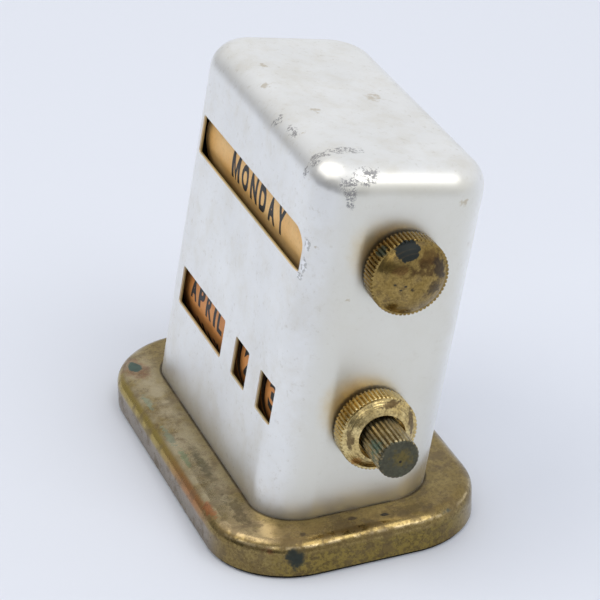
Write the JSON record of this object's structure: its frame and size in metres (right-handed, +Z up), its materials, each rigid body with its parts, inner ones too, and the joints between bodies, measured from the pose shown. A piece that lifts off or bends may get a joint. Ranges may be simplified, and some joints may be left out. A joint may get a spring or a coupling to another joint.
{
  "type": "flip desk calendar",
  "caption": "Leaning sheet-metal desk calendar on a rounded brass base: windows in the front show printed drums that side knobs turn to set weekday, month and date.",
  "frame": {"origin": "centre of the resting face under the base", "axes": "+Z up, +X to the right as the calendar is read and towards the knob pair, -Y towards the reader; the housing leans back 11 degrees towards +Y"},
  "size_m": [0.0814, 0.0492, 0.0687],
  "materials": {
    "satin_aluminium": "satin lacquered sheet, worn at the edges",
    "aged_brass": "aged brass with brown tarnish and verdigris",
    "inner_brass": "turned brass",
    "plated_steel": "dull plated steel sheet and rod",
    "spring_bronze": "spring bronze strip",
    "printed_paper": "yellowed printed paper",
    "card_drum": "rolled card tube",
    "card": "grey card",
    "black_felt": "black felt"
  },
  "bodies": {
    "case": {"base_felt": "black_felt", "base_card": "card", "base_tray": "aged_brass", "housing": "satin_aluminium", "drum_frame": "plated_steel", "frame_screws": "plated_steel", "upper_left_bush": "inner_brass", "upper_right_bush": "inner_brass", "lower_left_bush": "inner_brass", "lower_right_bush": "inner_brass"},
    "weekday_train": {"weekday_drum": "card_drum", "weekday_label": "printed_paper", "weekday_left_disc": "plated_steel", "weekday_right_disc": "plated_steel", "weekday_shaft": "plated_steel", "weekday_collar": "inner_brass", "weekday_spring_washer": "spring_bronze", "weekday_knob": "aged_brass"},
    "month_train": {"month_drum": "card_drum", "month_label": "printed_paper", "month_left_disc": "plated_steel", "month_right_disc": "plated_steel", "month_shaft": "inner_brass", "month_spring_washer": "spring_bronze", "month_knob": "aged_brass"},
    "tens_train": {"tens_drum": "card_drum", "tens_label": "printed_paper", "tens_left_disc": "plated_steel", "tens_right_disc": "plated_steel", "tens_shaft": "plated_steel", "tens_knob": "aged_brass"},
    "units_train": {"units_drum": "card_drum", "units_label": "printed_paper", "units_left_disc": "plated_steel", "units_right_disc": "plated_steel", "units_sleeve": "inner_brass", "units_spring_washer": "spring_bronze", "units_knob": "aged_brass"}
  },
  "joints": [
    {"name": "weekday_turn", "type": "hinge", "parent": "case", "child": "weekday_train", "pos_m": [0, 0.0085, 0.05043], "axis": [1, 0, 0], "continuous": true},
    {"name": "month_turn", "type": "hinge", "parent": "case", "child": "month_train", "pos_m": [0, 0.00312, 0.02275], "axis": [1, 0, 0], "continuous": true},
    {"name": "tens_turn", "type": "hinge", "parent": "case", "child": "tens_train", "pos_m": [0, 0.00312, 0.02275], "axis": [1, 0, 0], "continuous": true},
    {"name": "units_turn", "type": "hinge", "parent": "case", "child": "units_train", "pos_m": [0, 0.00312, 0.02275], "axis": [1, 0, 0], "continuous": true}
  ]
}
